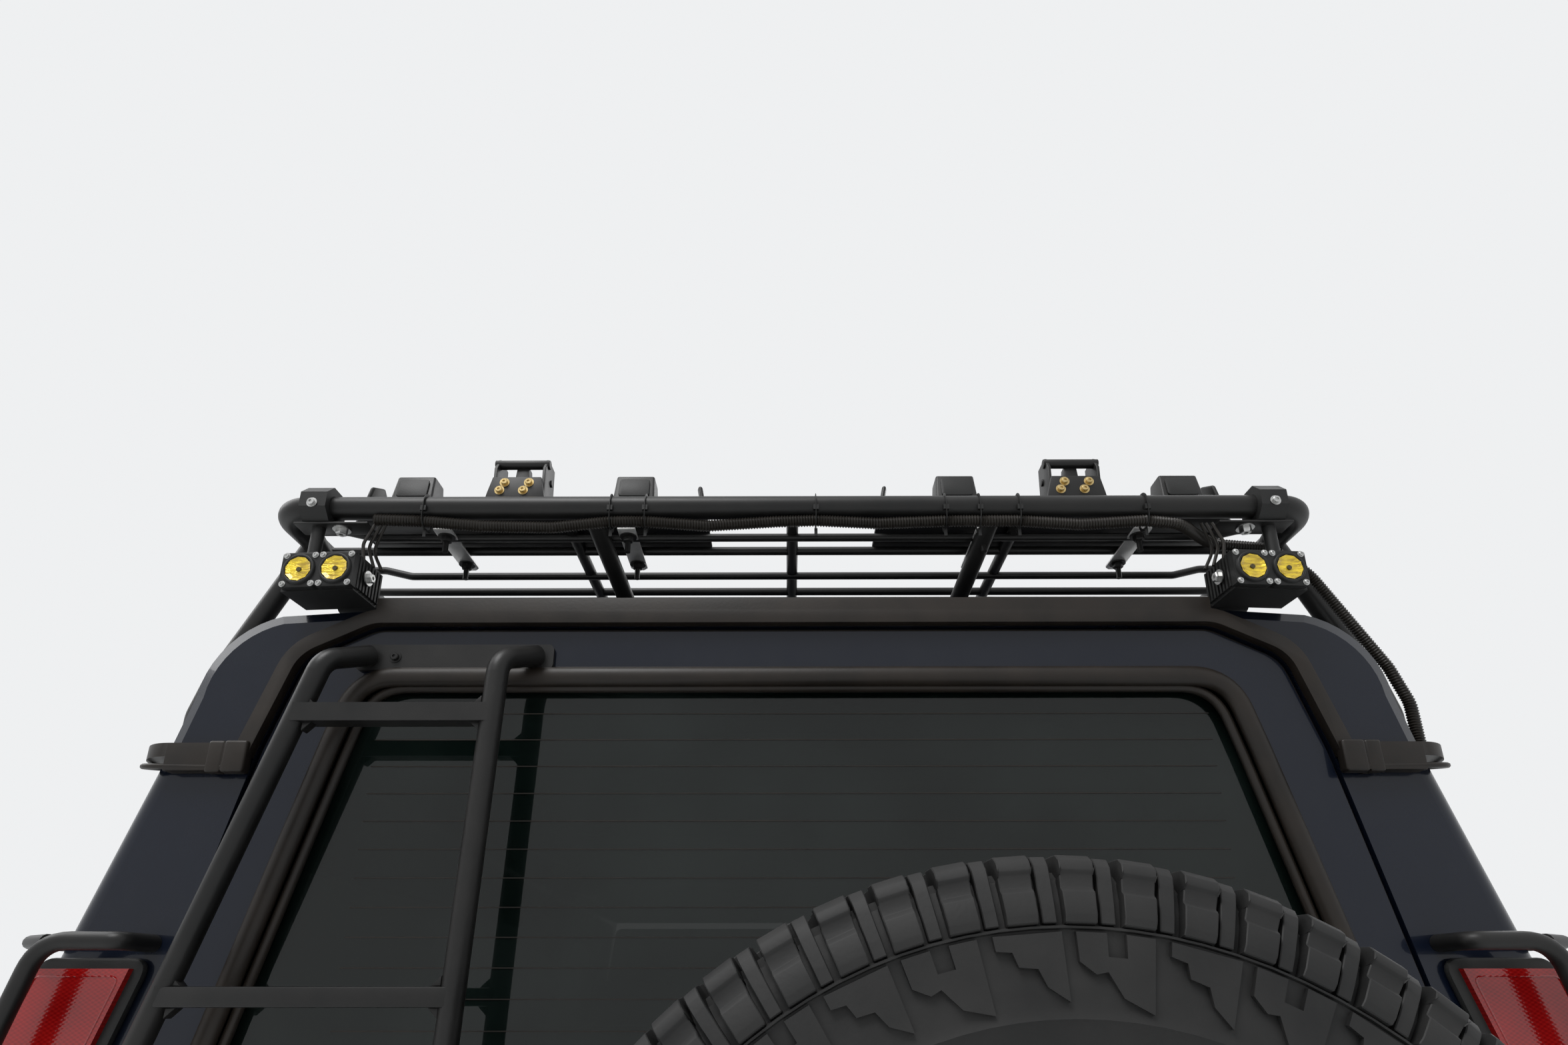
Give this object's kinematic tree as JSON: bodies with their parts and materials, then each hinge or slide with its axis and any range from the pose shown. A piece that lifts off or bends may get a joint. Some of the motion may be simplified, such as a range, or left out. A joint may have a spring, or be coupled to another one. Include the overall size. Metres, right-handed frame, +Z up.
{
  "type": "lifted off-road 4x4 estate car",
  "caption": "Lifted off-road 4x4 estate with a stepped roof, tubular roof rack with lamp pods, rear ladder and a spare wheel on a side-hinged tail door.",
  "frame": {"origin": "centre of the bounding box at ground level, midway along and across the car", "axes": "+X to the car's left, +Y to its rear, +Z up"},
  "size_m": [2.2204, 4.787, 2.2113],
  "materials": {
    "paint": "very dark navy clear-coat gloss",
    "underbody": "satin black underseal",
    "tinted_glass": "privacy tint",
    "black_plastic": "grained",
    "clear_lens": "clear lens",
    "black_steel": "satin black powder coat",
    "chassis_black": "chassis black",
    "cast_axle": "painted cast iron",
    "spring_steel": "black enamel",
    "engine_metal": "cast",
    "tank_plastic": "moulded",
    "exhaust_steel": "aluminised",
    "cabin_plastic": "grained",
    "seat_fabric": "woven",
    "red_lens": "red lens",
    "gutter_rubber": "weathered rubber",
    "lamp_housing": "die-cast, black",
    "bracket_steel": "satin black with bare fastenings",
    "loom_plastic": "corrugated",
    "tyre": "moulded rubber",
    "wheel_steel": "satin black"
  },
  "bodies": {
    "root": {"body_side_left": "paint", "body_side_right": "paint", "roof": "paint", "floor_pan": "underbody", "bulkhead": "underbody", "body_glass": "tinted_glass", "front_wings": "paint", "grille": "black_plastic", "headlamps": "clear_lens", "front_bumper": "black_steel", "rear_bumper": "black_steel", "chassis_frame": "chassis_black", "front_axle": "cast_axle", "rear_axle": "cast_axle", "suspension": "spring_steel", "driveline": "engine_metal", "fuel_tank": "tank_plastic", "exhaust": "exhaust_steel", "dashboard": "cabin_plastic", "seats": "seat_fabric", "tail_lamps": "red_lens", "lamp_guards": "black_steel", "gutter_trim": "gutter_rubber", "roof_rack": "black_steel", "rack_floor": "black_steel", "rack_legs": "black_steel", "rack_lamps": "lamp_housing", "case_mounts": "bracket_steel", "lamp_loom": "loom_plastic"},
    "bonnet": {"bonnet": "paint"},
    "tail_door": {"tail_door": "paint", "tail_glass": "tinted_glass", "ladder": "black_steel", "spare_rim": "wheel_steel", "spare_tyre": "tyre"},
    "steering_wheel": {"steering_wheel": "cabin_plastic"},
    "knuckle_left": {"knuckle_left": "cast_axle"},
    "knuckle_right": {"knuckle_right": "cast_axle"},
    "track_rod": {"track_rod": "cast_axle"},
    "door_front_left": {"door_front_left": "paint", "glass_front_left": "tinted_glass", "mirror_left": "black_plastic"},
    "wheel_front_left": {"tyre_front_left": "tyre", "rim_front_left": "wheel_steel"},
    "door_front_right": {"door_front_right": "paint", "glass_front_right": "tinted_glass", "mirror_right": "black_plastic"},
    "wheel_front_right": {"tyre_front_right": "tyre", "rim_front_right": "wheel_steel"},
    "door_rear_left": {"door_rear_left": "paint", "glass_rear_left": "tinted_glass"},
    "wheel_rear_left": {"tyre_rear_left": "tyre", "rim_rear_left": "wheel_steel"},
    "door_rear_right": {"door_rear_right": "paint", "glass_rear_right": "tinted_glass"},
    "wheel_rear_right": {"tyre_rear_right": "tyre", "rim_rear_right": "wheel_steel"}
  },
  "joints": [
    {"name": "front_left_spin", "type": "hinge", "parent": "knuckle_left", "child": "wheel_front_left", "pos_m": [0.78, -1.5435, 0.41], "axis": [1, 0, 0], "continuous": true},
    {"name": "front_right_spin", "type": "hinge", "parent": "knuckle_right", "child": "wheel_front_right", "pos_m": [-0.78, -1.5435, 0.41], "axis": [1, 0, 0], "continuous": true},
    {"name": "rear_left_spin", "type": "hinge", "parent": "root", "child": "wheel_rear_left", "pos_m": [0.78, 0.9965, 0.41], "axis": [1, 0, 0], "continuous": true},
    {"name": "rear_right_spin", "type": "hinge", "parent": "root", "child": "wheel_rear_right", "pos_m": [-0.78, 0.9965, 0.41], "axis": [1, 0, 0], "continuous": true},
    {"name": "steer_left", "type": "hinge", "parent": "root", "child": "knuckle_left", "pos_m": [0.665, -1.5435, 0.41], "axis": [0, 0, 1], "range_deg": [-32, 32]},
    {"name": "steer_right", "type": "hinge", "parent": "root", "child": "knuckle_right", "pos_m": [-0.665, -1.5435, 0.41], "axis": [0, 0, 1], "range_deg": [-32, 32]},
    {"name": "track_rod_slide", "type": "slide", "parent": "root", "child": "track_rod", "axis": [1, 0, 0], "range_m": [-0.084, 0.084]},
    {"name": "steering_wheel_turn", "type": "hinge", "parent": "root", "child": "steering_wheel", "pos_m": [0.39, -0.6835, 1.19], "axis": [0, 0.9063, 0.4226], "range_deg": [-512, 512]},
    {"name": "front_door_left", "type": "hinge", "parent": "root", "child": "door_front_left", "pos_m": [0.945, -0.983, 0.975], "axis": [0, 0, -1], "range_deg": [0, 65]},
    {"name": "front_door_right", "type": "hinge", "parent": "root", "child": "door_front_right", "pos_m": [-0.945, -0.983, 0.975], "axis": [0, 0, 1], "range_deg": [0, 65]},
    {"name": "rear_door_left", "type": "hinge", "parent": "root", "child": "door_rear_left", "pos_m": [0.945, -0.0478, 0.975], "axis": [0, 0, -1], "range_deg": [0, 65]},
    {"name": "rear_door_right", "type": "hinge", "parent": "root", "child": "door_rear_right", "pos_m": [-0.945, -0.0478, 0.975], "axis": [0, 0, 1], "range_deg": [0, 65]},
    {"name": "bonnet_hinge", "type": "hinge", "parent": "root", "child": "bonnet", "pos_m": [0, -1.1215, 1.3], "axis": [-1, 0, 0], "range_deg": [0, 50]},
    {"name": "tail_door_hinge", "type": "hinge", "parent": "root", "child": "tail_door", "pos_m": [-0.755, 1.9955, 1.1], "axis": [0, 0, 1], "range_deg": [0, 90]}
  ],
  "couplings": [
    {"joint": "steer_right", "follows": "steer_left", "ratio": 1},
    {"joint": "track_rod_slide", "follows": "steer_left", "m_per_rad": -0.15},
    {"joint": "steering_wheel_turn", "follows": "steer_left", "ratio": 16}
  ]
}
